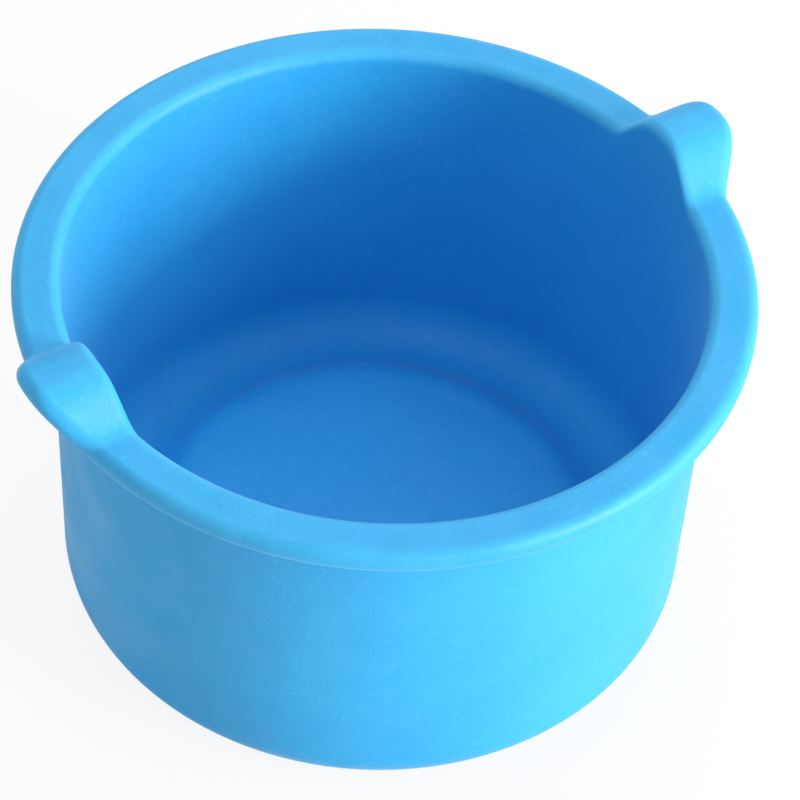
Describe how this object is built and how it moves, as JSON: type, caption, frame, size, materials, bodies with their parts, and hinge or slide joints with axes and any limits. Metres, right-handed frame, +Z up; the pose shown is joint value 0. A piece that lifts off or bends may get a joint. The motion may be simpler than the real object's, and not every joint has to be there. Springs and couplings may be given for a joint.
{
  "type": "wax warmer bowl",
  "caption": "Round one-piece silicone bowl that hangs in a wax heater by its outward rim, with opposite lifting ears drawn up from the rim.",
  "frame": {"origin": "on the bowl's axis, in the plane of the ring that it stands on", "axes": "+Z up along the bowl's axis; +X towards one lifting ear, the other ear is on -X"},
  "size_m": [0.14, 0.13, 0.08],
  "materials": {
    "silicone": "sky-blue satin silicone rubber, slightly translucent"
  },
  "bodies": {
    "root": {"silicone_bowl": "silicone"}
  },
  "joints": []
}
